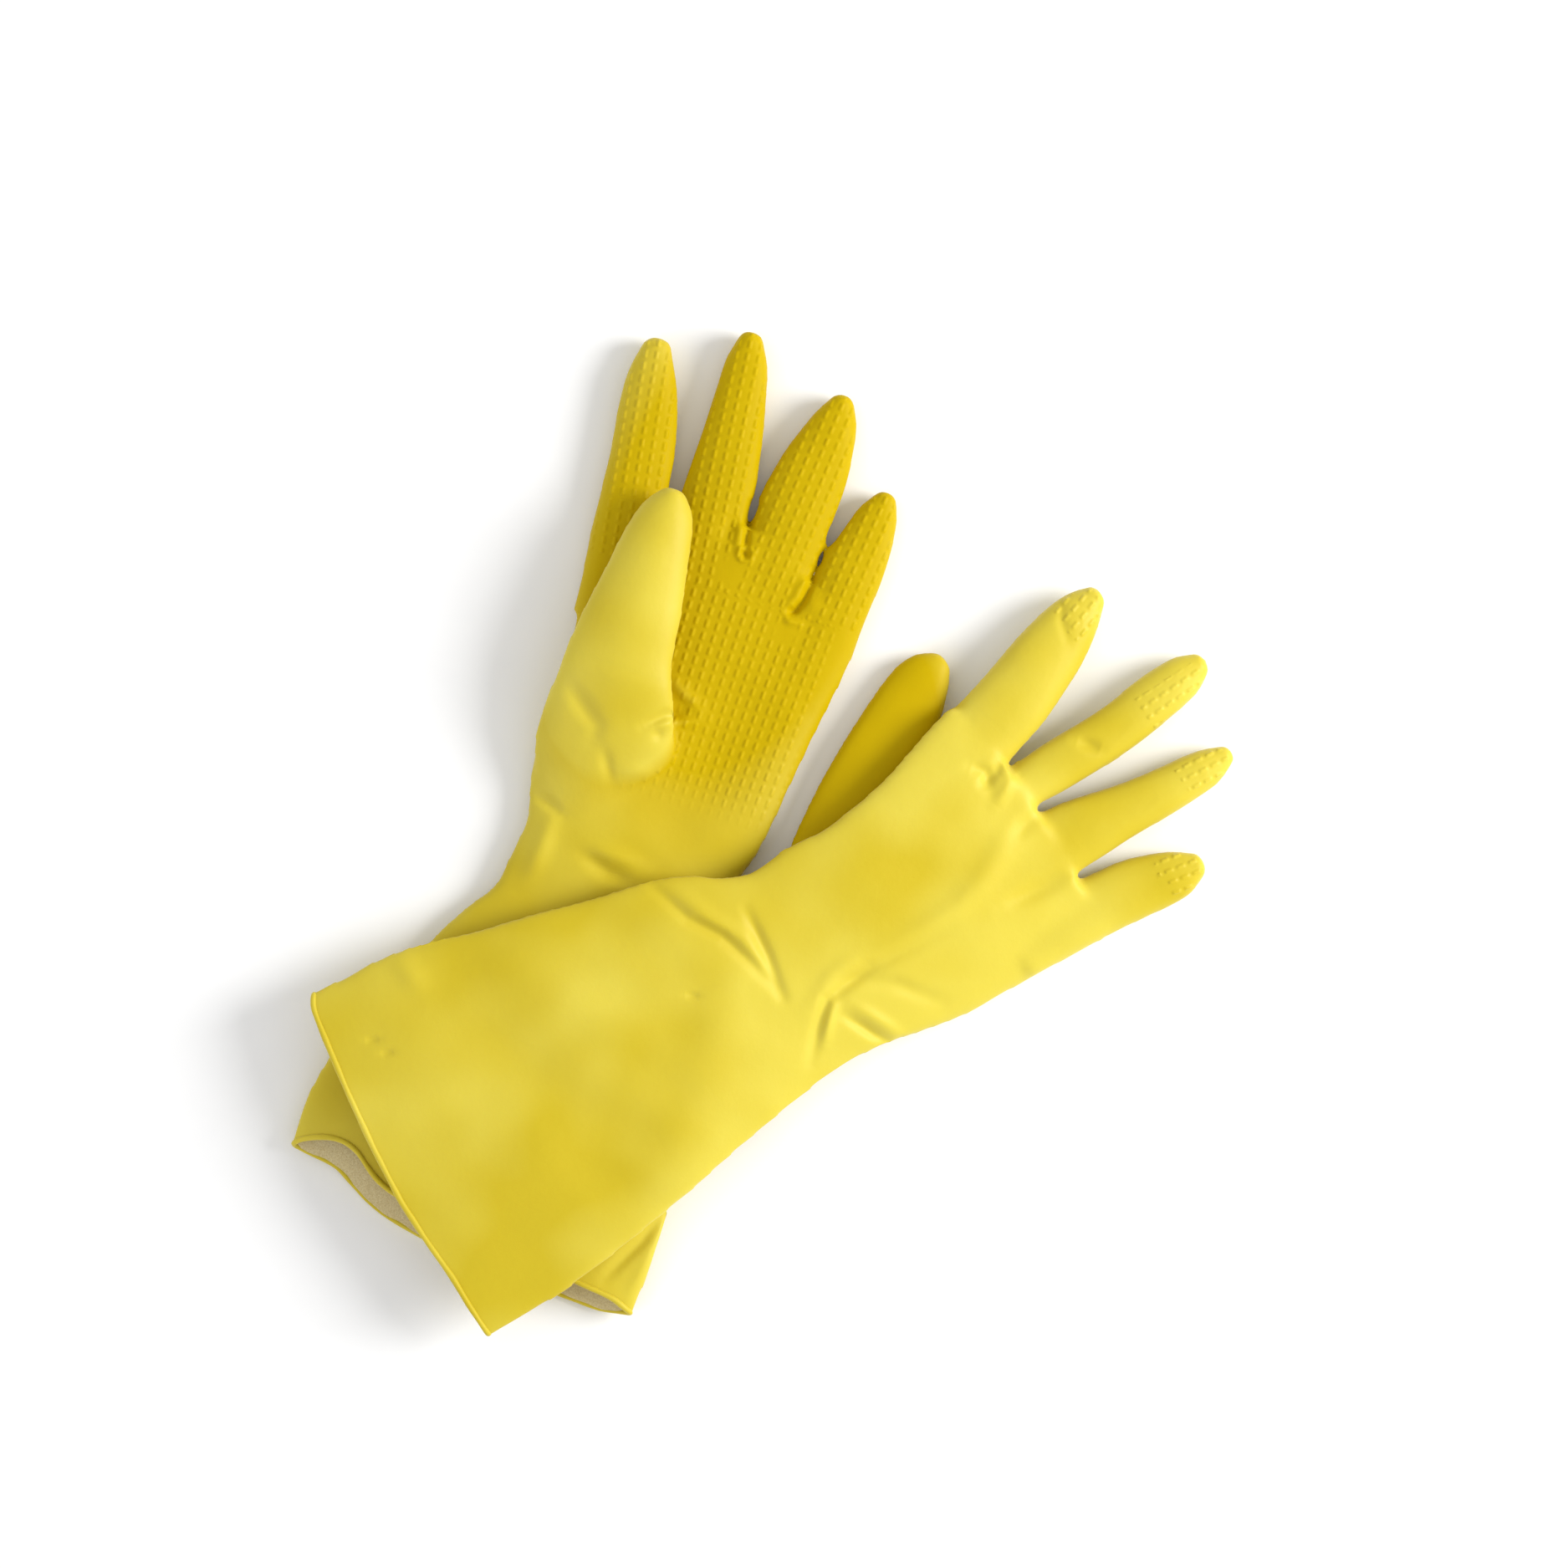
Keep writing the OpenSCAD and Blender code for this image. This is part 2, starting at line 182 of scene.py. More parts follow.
RIGHT = {
    "body": {
        "left": [(-64.2, -8), (-63.6, 4), (-62.2, 14), (-61.4, 26.7), (-59.2, 38.5), (-55.6, 51.5),
                 (-51.7, 62.2), (-48.6, 73), (-45.4, 83.3), (-42, 93), (-38.8, 103.5), (-36.2, 113),
                 (-33.6, 121.5), (-28.6, 131.5), (-21.6, 140.6), (-18.8, 147), (-18.9, 163), (-17.4, 175),
                 (-18.2, 190), (-20.6, 206.7), (-24.4, 222), (-27.8, 236.7), (-28.6, 242)],
        "right": [(62.8, -8), (63.2, 2.2), (64, 13.3), (64, 28), (62.4, 46), (60.4, 65), (58.3, 81.1),
                  (56.2, 94), (54.6, 108), (53.2, 120), (52.1, 132), (52.2, 144), (54.2, 157), (57.4, 169),
                  (60, 182), (61.3, 200), (62.3, 217), (63.9, 236.7), (64.2, 242)],
        "front": [(-29, 234), (-1, 239), (16, 239.5), (42, 238.5), (65, 235)],
        "heights": [(-8, 13.6, 24, 0), (0, 13.6, 24, 0), (45, 13.4, 27, 0), (80, 13.2, 26.6, -0.02),
                    (112, 12.4, 24.5, -0.06), (148, 9, 22, -0.12), (178, 5.8, 20.6, -0.17),
                    (207, 5, 19.6, -0.17), (242, 4.6, 17, -0.11)],
    },
    "thumb": {
        "left": [(-6, 148), (-12, 156), (-18.2, 163.5), (-23.6, 171.6), (-29.6, 181.6), (-34.8, 191.4),
                 (-40, 202.2), (-44.4, 212.2), (-47.8, 221), (-49.5, 227.8), (-49, 233.8), (-46.4, 238.4)],
        "right": [(14, 156), (9, 166), (4, 176), (-2, 187), (-7.6, 197), (-13, 207.5), (-18.4, 217),
                  (-23.4, 225), (-27.6, 230.4), (-31, 234), (-34.4, 237.4), (-37.4, 239.4)],
        "tip": (-42.2, 240.7),
        "heights": [(0, 9, 16), (0.12, 4, 12.5), (0.25, 0.7, 9.6), (0.6, 0.5, 10.4), (1, 0.6, 10.6)],
    },
    "index": {
        "left": [(-22.4, 212), (-25.2, 225), (-27.8, 236.7), (-30.6, 247.8), (-33, 256), (-35.6, 264.6),
                 (-37.4, 273), (-38.6, 281), (-38.4, 287), (-36.6, 292.8)],
        "right": [(-2.4, 212), (-2.2, 226), (-2.4, 239), (-4.4, 247.5), (-6.6, 255.6), (-11.1, 266.7),
                  (-14.6, 274.4), (-18.9, 282.2), (-23.3, 288.3), (-27.8, 293.3)],
        "tip": (-32.6, 295.6),
        "heights": [(0, 7, 17), (0.3, 7.2, 19.2), (0.6, 5.6, 18.6), (1, 4, 15.6)],
    },
    "middle": {
        "left": [(1, 212), (0.2, 228), (-0.4, 240), (-1.2, 248), (-1.1, 258), (-0.6, 268), (-0.8, 278.9),
                 (-1.9, 287.8), (-2.2, 297.8), (-1.4, 305.4), (0.8, 310)],
        "right": [(14.6, 212), (14.8, 230), (14.9, 241.7), (15.7, 249), (16.1, 258.9), (16.3, 268.9),
                  (16, 280), (15, 289), (13.9, 297.8), (12.1, 305.6), (9.2, 310.4)],
        "tip": (4.6, 312.5),
        "heights": [(0, 5, 15), (0.3, 5, 16.8), (0.6, 3.6, 15.6), (1, 2, 13.4)],
    },
    "ring": {
        "left": [(17.4, 212), (17.4, 230), (17.6, 242), (18.8, 249), (20.4, 255), (22.4, 262),
                 (24.4, 270.4), (26.1, 280), (27.4, 288.9), (28.9, 295.6), (31.2, 300.6)],
        "right": [(40, 212), (40.6, 230), (40.8, 241), (41, 250), (40.9, 258.9), (41.2, 266.6), (41.6, 276),
                  (41.7, 286), (41, 295.4), (38.6, 300.8)],
        "tip": (34.8, 303.6),
        "heights": [(0, 3.4, 13.6), (0.3, 3, 15.2), (0.6, 2, 14.4), (1, 1, 12.2)],
    },
    "little": {
        "left": [(43.2, 208), (43.2, 228), (43.4, 241), (44.2, 247.6), (45.2, 253.2), (47.2, 259.2),
                 (49.5, 264.6), (52.4, 270), (55.8, 273.9)],
        "right": [(61.7, 208), (62.8, 225.6), (63.9, 236.7), (65.4, 248), (66.9, 258.9), (67.3, 266),
                  (65, 272.2)],
        "tip": (60.6, 276),
        "heights": [(0, 1.8, 11.6), (0.3, 1, 12), (0.6, 0.4, 11.8), (1, 0.6, 11)],
    },
}
GLOVES = {"left": LEFT, "right": RIGHT}
FINGERS = ("thumb", "index", "middle", "ring", "little")

# Each stall's root in its glove's plan, and its heading to the left of +Y: where the CAD bodies part
ROOTS = {
    "left": {
        "thumb": (-7, 192, 0),
        "index": (-21.4, 256, 8.7),
        "middle": (6.1, 256, 5.7),
        "ring": (32.5, 254, -5),
        "little": (56.2, 241.8, -6),
    },
    "right": {
        "thumb": (-9, 169.6, 24),
        "index": (-15.8, 242.7, 17),
        "middle": (7.3, 247, 1),
        "ring": (30, 247, -7),
        "little": (54.4, 243, -12),
    },
}
# Half the width of each stall at its root, mm
ROOT_HALF = {
    "left": {"thumb": 19.0, "index": 15.0, "middle": 12.9, "ring": 13.6, "little": 11.6},
    "right": {"thumb": 22.0, "index": 15.0, "middle": 9.6, "ring": 13.6, "little": 12.6},
}
ROOT_FAN = 12.0  # beyond this far from its root a stall may be wider than there, mm
# The middle of each wrist's hinge
WRISTS = {"left": (15.7, 143.0), "right": (17.0, 148.3)}

# The lips of each mouth, seen from above: upper and lower
LIPS = {
    "left": {
        "upper": [(-62, 9), (-59, 11.8), (-54, 13.8), (-49, 15), (-44, 14.8), (-39.5, 13), (-35.5, 9.6),
                  (-31, 6.4), (-26, 4.2), (-10, 1.4), (20, -2.4), (43, -5.6), (56, -7), (63, -10)],
        "lower": [(-62, 7.6), (-56, 6.8), (-50, 6.7), (-44.4, 5.4), (-39, 2), (-33, -1.6), (-26, -4.6),
                  (-12, -7.8), (10, -9.8), (36.7, -11.7), (53.3, -12.4), (63, -10.4)],
    },
    "right": {
        "upper": [(-63.6, 6.9), (-60, 3.9), (-50, 2.2), (-30, -1.3), (-10, -4.2), (10, -6.2), (25, -6.2),
                  (40, -5.6), (50, -6.1), (63.2, -6.3)],
        "lower": [(-63.6, 6.9), (-55, 5.6), (-30, 2.5), (0, -2), (30, -4.5), (63.2, -6)],
    },
}


# ------------------------ lofts

def loft(rings):
    """A closed mesh through rings of points: vertices and faces."""
    count, n = len(rings), len(rings[0])
    faces = [
        (r * n + j, r * n + (j + 1) % n, (r + 1) * n + (j + 1) % n, (r + 1) * n + j)
        for r in range(count - 1)
        for j in range(n)
    ]
    last = (count - 1) * n
    for j in range(n // 2):  # strips across, so that a curved end stays between its own points
        strip = dict.fromkeys((j, j + 1, n - j - 1, (n - j) % n))
        faces.append(tuple(reversed(strip)))
        faces.append(tuple(last + k for k in strip))
    return np.concatenate(rings), faces


def ring(left, right, low, high, rise=0.0, roundness=EDGE_ROUNDNESS):
    """A rounded section standing on the line from left to right."""
    t = np.linspace(0, 2 * math.pi, RING_POINTS, endpoint=False)
    u = np.sign(np.cos(t)) * np.abs(np.cos(t)) ** (2 / roundness)
    v = np.sign(np.sin(t)) * np.abs(np.sin(t)) ** (2 / roundness)
    middle, half = (left + right) / 2, (right - left) / 2
    plan = middle + u[:, None] * half
    z = (low + high) / 2 + v * (high - low) / 2 + rise * u * np.linalg.norm(half)
    return np.column_stack([plan, z])


def stall_loft(shape):
    """A stall from its two edges, closing in a round tip."""
    left = np.array(shape["left"], float)
    right = np.array(shape["right"], float)
    tip = np.array(shape["tip"], float)
    heights = np.array(shape["heights"])
    roundness = shape.get("roundness", EDGE_ROUNDNESS)
    length = np.linalg.norm(np.diff(left, axis=0), axis=1).sum()
    shares = np.linspace(0, 1, max(LEAST_STATIONS, int(length / STATION_STEP)))
    lefts, rights = along(left, shares), along(right, shares)
    rings = []
    for s, a, b in zip(shares, lefts, rights):
        low, high = (np.interp(s, heights[:, 0], heights[:, c]) for c in (1, 2))
        rings.append(ring(a, b, low, high, roundness=roundness))
    a, b, low, high = lefts[-1], rights[-1], heights[-1, 1], heights[-1, 2]
    end = (a + b) / 2
    for turned in TIP_TURNS:
        closing, reach = math.cos(math.radians(turned)), math.sin(math.radians(turned))
        centre = end + (tip - end) * reach
        mid, half = (low + high) / 2, (high - low) / 2 * closing
        a_here, b_here = centre + (a - end) * closing, centre + (b - end) * closing
        rings.append(ring(a_here, b_here, mid - half, mid + half, roundness=roundness))
    # the sections before the cap already draw together, so that the tip is round in height too
    for i in range(1, TAPERED + 1):
        station = rings[-len(TIP_TURNS) - i]
        mid = (low + high) / 2
        station[:, 2] = mid + (station[:, 2] - mid) * (1 - TIP_TAPER * (TAPERED + 1 - i))
    return loft(rings)


def body_loft(shape):
    """The cuff and hand, from beyond the mouth to the knuckles."""
    left, right = (np.array(shape[side], float) for side in ("left", "right"))
    front = np.array(shape["front"], float)
    heights = np.array(shape["heights"])
    end = heights[-1, 0]
    edges = [along(line, np.linspace(0, 1, EDGE_SAMPLES)) for line in (left, right)]
    rings = []
    for y in np.arange(-CUT_MARGIN, end + 0.1, STATION_STEP):
        a, b = (np.array([np.interp(y, e[:, 1], e[:, 0]), y]) for e in edges)
        low, high, rise = (np.interp(y, heights[:, 0], heights[:, c]) for c in (1, 2, 3))
        section = ring(a, b, low, high, rise)
        if y > FAN_FROM:
            limit = np.interp(section[:, 0], front[:, 0], front[:, 1])
            section[:, 1] = FAN_FROM + (y - FAN_FROM) * (limit - FAN_FROM) / (end - FAN_FROM)
        rings.append(section)
    return loft(rings)


def mesh_object(name, vertices, faces):
    """A new mesh object in the scene."""
    mesh = bpy.data.meshes.new(name)
    mesh.from_pydata([tuple(v) for v in vertices], [], faces)
    mesh.update()
    obj = bpy.data.objects.new(name, mesh)
    bpy.context.scene.collection.objects.link(obj)
    return obj


def apply_modifier(obj, kind, **settings):
    """Adds a modifier and makes its result the object's own mesh."""
    modifier = obj.modifiers.new(kind, kind)
    for key, value in settings.items():
        setattr(modifier, key, value)
    depsgraph = bpy.context.evaluated_depsgraph_get()
    mesh = bpy.data.meshes.new_from_object(obj.evaluated_get(depsgraph))
    obj.modifiers.clear()
    old = obj.data
    obj.data = mesh
    bpy.data.meshes.remove(old)


def positions(mesh):
    co = np.empty(len(mesh.vertices) * 3, np.float32)
    mesh.vertices.foreach_get("co", co)
    return co.reshape(-1, 3).astype(float)


def set_positions(mesh, co):
    mesh.vertices.foreach_set("co", co.astype(np.float32).ravel())
    mesh.update()


def normals(mesh):
    out = np.empty(len(mesh.vertices) * 3, np.float32)
    mesh.vertex_normals.foreach_get("vector", out)
    return out.reshape(-1, 3).astype(float)


def joined_skin(side, names):
    """One closed skin through these parts of a glove, in the glove's plan, in mm."""
    vertices, faces = [], []
    for name in names:
        shape = GLOVES[side][name]
        v, f = body_loft(shape) if name == "body" else stall_loft(shape)
        base = sum(len(x) for x in vertices)
        vertices.append(v)
        faces += [tuple(base + i for i in face) for face in f]
    obj = mesh_object(f"{side}_skin", np.concatenate(vertices), faces)
    apply_modifier(obj, "REMESH", mode="VOXEL", voxel_size=VOXEL, adaptivity=0.0, use_smooth_shade=True)
    apply_modifier(obj, "SMOOTH", factor=0.5, iterations=SMOOTHING)
    return obj


# ------------------------ creases and waves

WAVE_COUNT = 5
WAVE_SPREAD = (0.75, 1.4)  # the shortest and the longest wave, as shares of the length asked for


def waves(points, seed, length):
    """Smooth seeded waves over the plan, from -1 to 1, about this long in mm."""
    rng = np.random.default_rng(seed)
    total = np.zeros(len(points))
    for _ in range(WAVE_COUNT):
        angle, phase = rng.uniform(0, 2 * math.pi, 2)
        k = 2 * math.pi / (length * rng.uniform(*WAVE_SPREAD))
        total += np.sin(k * (points[:, 0] * math.cos(angle) + points[:, 1] * math.sin(angle)) + phase)
    return total / WAVE_COUNT


def nearest(points, line):
    """For each point, its distance from a line, positive to the left, and where along the line it is."""
    line = np.array(line, float)
    best = np.full(len(points), 1e9)
    share, hand = np.zeros(len(points)), np.ones(len(points))
    length = np.linalg.norm(np.diff(line, axis=0), axis=1)
    total, done = length.sum(), 0.0
    for a, b, size in zip(line[:-1], line[1:], length):
        off = points[:, :2] - a
        t = np.clip((off @ (b - a)) / size**2, 0, 1)
        d = np.linalg.norm(points[:, :2] - (a + t[:, None] * (b - a)), axis=1)
        near = d < best
        best[near], share[near] = d[near], (done + t[near] * size) / total
        side = (b - a)[0] * off[:, 1] - (b - a)[1] * off[:, 0]
        hand[near] = np.where(side[near] < 0, -1, 1)
        done += size
    return best * hand, share


CREASE_END = 0.08  # how little of a crease's depth is left at its ends


def crease(points, line, width, depth):
    """A fold along a line, in mm: a valley where depth is negative, a ridge where it is positive."""
    distance, share = nearest(points, line)
    fade = np.sin(math.pi * np.clip(CREASE_END + (1 - 2 * CREASE_END) * share, 0, 1))
    return depth * fade * np.exp(-((distance / width) ** 2))


FOLD_WIDTH = 1.15  # of the sharp valley beside an overlap, mm
SAG_WIDTH = 4.0  # of the soft hollow round that valley, mm
SAG_SHARE = 0.35  # the soft hollow's depth as a share of the valley's
LIP_PLACE = 2.6  # from the valley to the middle of the lip, mm
LIP_WIDTH = 1.7


def overlap(points, line, depth, lip):
    """Where one finger's side rolls over the next: a narrow valley, and a lip to the left of it."""
    distance, share = nearest(points, line)
    fade = smoothstep(0, 0.16, share) * (1 - 0.7 * smoothstep(0.55, 0.9, share))
    valley = -depth * np.exp(-((distance / FOLD_WIDTH) ** 2))
    valley -= SAG_SHARE * depth * np.exp(-((distance / SAG_WIDTH) ** 2))
    return fade * (valley + lip * np.exp(-(((distance - LIP_PLACE) / LIP_WIDTH) ** 2)))


def dimple(points, centre, radius, depth, rim):
    """A round dent or bump with a raised ring round it."""
    r = np.linalg.norm(points[:, :2] - np.array(centre), axis=1) / radius
    return depth * np.exp(-(r**2)) + rim * np.exp(-(((r - 1.9) / 0.6) ** 2))


# Folds seen from above: points of the line, width, depth
CREASES = {
    "left": [
        ([(-22.1, 182.3), (-14, 176), (-7.8, 171.2), (-7.4, 165.5)], 2.8, -1.3),
        ([(-3.7, 164.7), (2.4, 155)], 2.2, -0.9),
        ([(4.2, 158.5), (14.6, 162.8)], 2.4, 0.7),
        ([(-22.1, 143.1), (-15.9, 142.2), (-10.2, 139.6)], 2.0, -1.2),
        ([(-13, 139.2), (-13.4, 128.3), (-14.4, 116.2)], 3.4, 1.7),
        ([(1, 129), (9.9, 126.1), (19, 125.4)], 2.4, -1.9),
        ([(2, 132), (11.1, 132.2), (21, 131.6)], 2.6, 1.3),
        ([(9.5, 193.4), (17.7, 189.3), (24.3, 185.6)], 2.3, 1.2),
        ([(6.8, 175.6), (12.5, 181.3), (18, 184)], 1.8, -1.5),
        ([(10, 176.4), (18.2, 180.8), (26, 183.6)], 1.8, 1.1),
        ([(-24, 200), (-22, 182), (-21, 164)], 6.0, 0.8),
        ([(62.9, 25.9), (58.6, 14.3), (50.6, -1.5)], 2.2, -1.6),
        ([(65, 20.4), (62.5, 6.8), (60, -5.1)], 2.4, 0.9),
        ([(-56, 14), (-42, 24), (-30, 28)], 4.0, 1.0),
        ([(13.9, 251), (13.4, 241)], 3.2, -1.2),
        ([(39.5, 224.8), (41.3, 223.4), (46.5, 223.6)], 1.3, 1.0),
        ([(22, 138), (31, 165), (33, 205)], 13.0, -2.2),
        ([(48, 225), (53, 190), (50, 165)], 6.0, 0.8),
    ],
    "right": [
        ([(-33, 118.6), (-16.6, 123.1), (-5.9, 129.4), (7, 132.6), (21, 135)], 2.0, -1.3),
        ([(-30, 124), (-14, 129), (-2, 134.6), (12, 136)], 2.8, 1.2),
        ([(-9, 140.6), (7.3, 138.2), (22, 135.1)], 2.1, -1.7),
        ([(29, 164), (30.1, 156), (30.5, 147.1), (37.3, 138.6), (45, 131)], 2.1, -1.4),
        ([(28.4, 152), (30.3, 173.7), (32.2, 193)], 2.6, -1.4),
        ([(28, 155), (38.5, 168.4), (52, 178.2)], 2.4, -1.1),
        ([(37.6, 148.6), (48.7, 153.5), (55, 157)], 1.9, -1.7),
        ([(36, 153), (46, 157.6), (54, 161)], 2.2, 1.0),
        ([(31, 149.4), (36, 144), (42, 138.2)], 1.9, 1.2),
        ([(24, 164), (25, 152), (30, 140)], 3.0, 1.0),
        ([(-51.3, 42.9), (-3.7, 54), (20.2, 56.1), (51.5, 45.7)], 15.0, -2.2),
        ([(-28, 112), (7.1, 122.6), (33.6, 97.1), (47, 71.9)], 10.0, 1.3),
        ([(-60, 36.3), (-43.1, 37.6)], 4.0, 1.0),
        ([(-41, 12.6), (-38.6, 17)], 1.3, -0.6),
        ([(-34.6, 14.4), (-32.6, 18.8)], 1.3, -0.6),
        ([(3.6, 108.6), (6.6, 112.6)], 1.3, -0.6),
        ([(16.7, 233.3), (20, 223.3), (26.1, 209.4), (28, 200), (28.9, 171)], 4.4, 1.5),
        ([(39.4, 236), (38, 224), (36.6, 212)], 3.2, -1.7),
        ([(17, 240), (18, 232), (20, 226)], 2.6, -1.3),
        ([(-8, 228), (-4, 231), (2, 229)], 2.2, -1.5),
        ([(-5, 238), (-2, 234), (-1, 228)], 1.9, -1.3),
        ([(2, 238), (5, 233), (7, 228)], 2.2, 1.0),
        ([(4, 262), (7, 264.5), (10.5, 267)], 2.2, -1.2),
        ([(-38, 283), (-31, 279), (-24, 277)], 1.8, -0.7),
    ],
}
# Where the side of one finger of the left glove rolls over the next
OVERLAPS = [
    ([(20.7, 240.6), (19.9, 244), (18.9, 250), (18.7, 256)], 1.9, 0.9),
    ([(39.4, 225.1), (42.4, 227.5), (43.9, 231), (44.6, 236.5), (44.6, 243)], 2.2, 1.1),
]
# Where two fingers of the left glove lie against each other: between these lines the gap closes
CLOSINGS = [[(18.6, 257), (18.6, 264)], [(43.9, 237.5), (45.6, 250)]]
CLOSING = 0.7  # how far each side moves in, mm
CLOSING_REACH = 3  # how far to each side of the line, mm
CLOSING_TOP = 14.5  # up to this height, which leaves the thumb above as it is, mm
# Small round dents and bumps of the left glove: middle, radius, depth, rim
DIMPLES = [
    ((20.9, 240), 1.3, -1.6, 0.6),
    ((47.4, 231), 3.4, 1.0, 0),
    ((12.4, 174.4), 2.0, -1.0, 0),
]
SHARPEST = 2.3  # creases narrower than this get finer faces, mm
# Over this stretch of y and these heights the left palm gives way to the thumb that lies over it, mm
OVER_PALM = (178, 198)
OVER_HEIGHTS = (14, 17)
THUMB_LEAST = 14.6  # the left thumb lies above this height, mm
FINGERS_MOST = 14.9  # and its fingers lie below this one
WAVES = {"left": (11, 0.4), "right": (23, 0.62)}  # seed and height, mm
LONG_WAVE = 46
SHORT_WAVE = 17
SHORT_SHARE = 0.35  # the short waves' height as a share of the long ones'
THUMB_WAVE = 40


FOLD_ROOM = 2.2  # how much lower than an overlap's valley the lining keeps, mm
FOLD_REACH = 4.0  # how far to each side of it, mm
DENT_ROOM = 1.2  # the same two for a dent
DENT_REACH = 2


def hollow(points):
    """How far the left glove's lining keeps down under the overlaps and dents, in mm."""
    down = np.zeros(len(points))
    for line, depth, _ in OVERLAPS:
        distance, _ = nearest(points, line)
        down = np.maximum(down, (depth + FOLD_ROOM) * np.exp(-((distance / FOLD_REACH) ** 4)))
    for centre, radius, depth, _ in DIMPLES:
        distance = np.linalg.norm(points[:, :2] - np.array(centre), axis=1)
        down = np.maximum(down, (abs(depth) + DENT_ROOM) * np.exp(-((distance / (radius + DENT_REACH)) ** 4)))
    return down


def push_in(side, co, n, lining=False):
    """Creases and soft waves: each point's new place."""
    upward = smoothstep(0.15, 0.75, n[:, 2])
    seed, height = WAVES[side]
    push = height * waves(co, seed, LONG_WAVE) + SHORT_SHARE * height * waves(co, seed + 1, SHORT_WAVE)
    for line, width, depth in CREASES[side]:
        push += crease(co, line, width, depth)
    if side == "left":
        if lining:
            push -= hollow(co)
        else:
            for line, depth, lip in OVERLAPS:
                push += overlap(co, line, depth, lip)
            for centre, radius, depth, rim in DIMPLES:
                push += dimple(co, centre, radius, depth, rim)
        # the palm's creases stay off the thumb that lies over it
        over = smoothstep(*OVER_HEIGHTS, co[:, 2]) * smoothstep(*OVER_PALM, co[:, 1])
        push += over * (height * waves(co, seed + 2, THUMB_WAVE) - push)
    out = co.copy()
    if side == "left" and not lining:
        for line in CLOSINGS:
            distance, share = nearest(co, line)
            near = np.sign(distance) * np.exp(-((distance / CLOSING_REACH) ** 2)) * smoothstep(0, 0.3, share)
            out[:, 0] += CLOSING * near * (co[:, 2] < CLOSING_TOP)
    out[:, 2] += push * upward
    return out


def shape_mouth(side, co):
    """The cuff's end drawn out to its upper and lower lips."""
    lips = LIPS[side]
    heights = np.array(GLOVES[side]["body"]["heights"])
    low, high = (np.interp(co[:, 1], heights[:, 0], heights[:, c]) for c in (1, 2))
    height = smoothstep(0.15, 0.85, (co[:, 2] - low) / (high - low))
    upper, lower = (
        np.interp(co[:, 0], [p[0] for p in lips[k]], [p[1] for p in lips[k]]) for k in ("upper", "lower")
    )
    reach = 1 - smoothstep(0, MOUTH_REACH, co[:, 1])
    co[:, 1] += reach * (lower + (upper - lower) * height)
    return co


# ------------------------ grip pattern

GRIP_COLUMN = 3.7  # from dash to dash across a finger, mm
GRIP_ROW = 4.2  # and along it
GRIP_LENGTH = 2.9
GRIP_WIDTH = 1.4
GRIP_HEIGHT = 0.38
GRIP_CUTS = 2  # cuts across each face that carries the pattern
GRIP_START = (150, 168)  # the stretch of y over which the left palm's pattern starts, mm
GRIP_LEFT = (-20, -12)  # the stretches of x over which it starts and ends, mm
GRIP_RIGHT = (55, 59)
GRIP_MIDDLE = 16  # its middle column
GRIP_TOP = 15.6  # the folded thumb, above this height, has none
KNUCKLES = 226.0  # from here on the left glove's dashes run along each finger, mm
GRIP_MARGIN = 1.4  # this far inside the finger's edges, mm
GRIP_BEFORE = 34  # and from this far before its root, mm
# Places on the left glove where the pattern stops, below the crotches and at the thumb's root
PLAIN = [((18, 233), 5.5), ((18.8, 247), 3.5), ((41.5, 219.5), 5.0), ((45, 232), 5.0), ((8, 186), 9.0)]
# Patches of the pattern on the right glove's fingertips: y from and to, x from and to, finger
TIP_PATCHES = [
    (279, 294, -39, -24, "index"),
    (286, 309, 3, 15, "middle"),
    (284, 301, 30, 41, "ring"),
    (261, 274, 52, 66, "little"),
]


def dashes(u, v):
    """Short raised dashes along v, in columns across u."""
    across = np.abs(u / GRIP_COLUMN - np.round(u / GRIP_COLUMN)) * GRIP_COLUMN
    lengthways = np.abs(v / GRIP_ROW - np.round(v / GRIP_ROW)) * GRIP_ROW
    sides = 1 - smoothstep(0.12, 0.6, across / GRIP_WIDTH)
    ends = 1 - smoothstep(0.32, 0.58, lengthways / GRIP_LENGTH)
    return sides * ends


